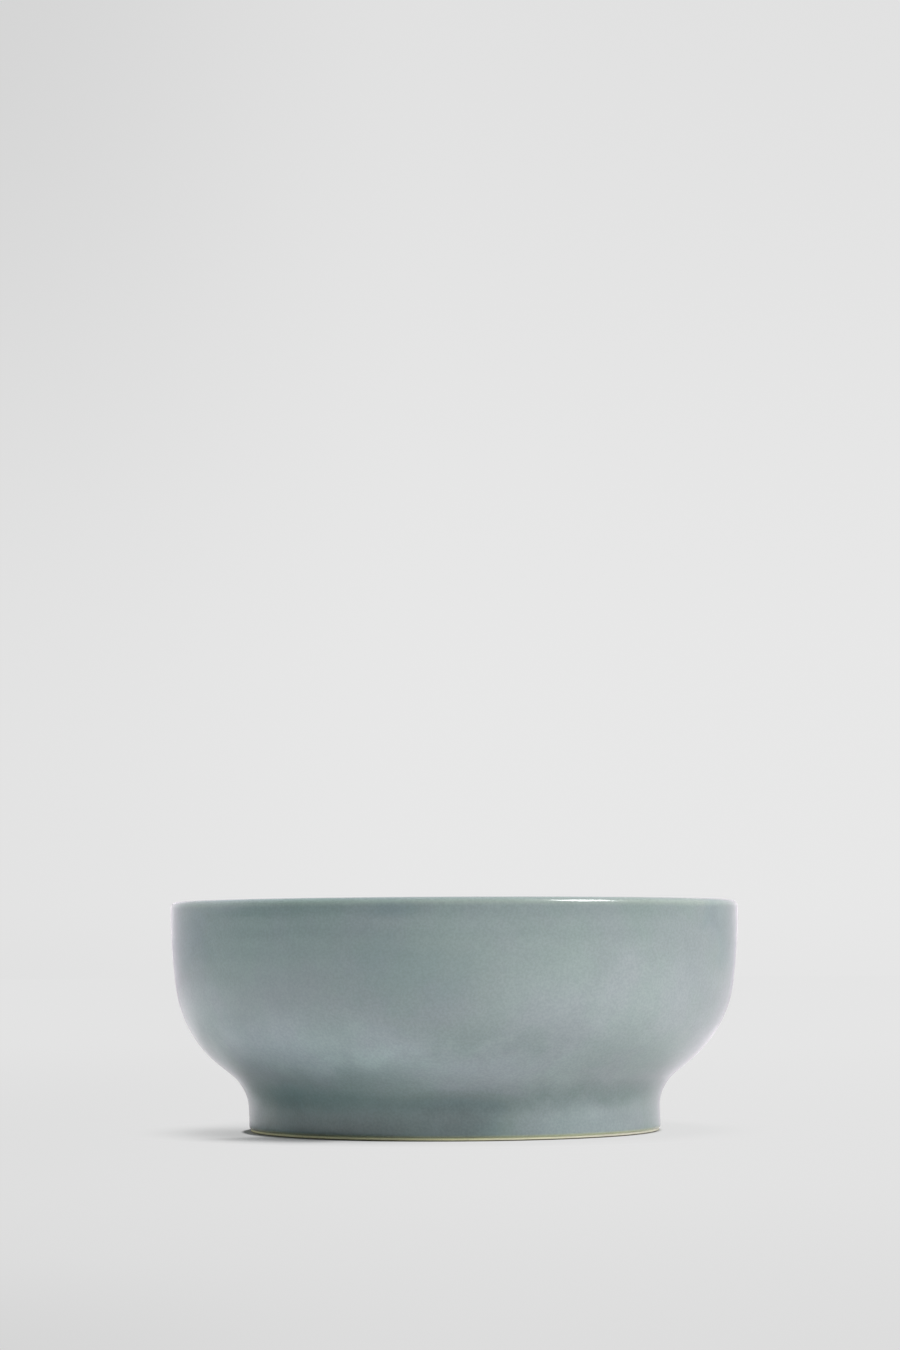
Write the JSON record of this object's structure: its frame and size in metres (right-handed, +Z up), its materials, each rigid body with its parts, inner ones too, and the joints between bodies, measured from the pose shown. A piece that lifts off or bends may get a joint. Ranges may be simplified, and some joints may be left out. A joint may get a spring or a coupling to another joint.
{
  "type": "latte bowl",
  "caption": "Wide footed drinking bowl in glazed stoneware: upright wall, rounded belly, hollow waist and a bare foot ring.",
  "frame": {"origin": "centre of the circle that the foot ring stands on", "axes": "+Z up along the bowl's axis of revolution, towards the open mouth; X and Y are alike"},
  "size_m": [0.145, 0.145, 0.0582],
  "materials": {
    "bare_clay": "matt, unglazed fired clay",
    "glaze": "glossy grey-green glaze with faint mottling"
  },
  "bodies": {
    "root": {"clay_body": "bare_clay", "glaze_coat": "glaze", "underside_glaze": "glaze"}
  },
  "joints": []
}
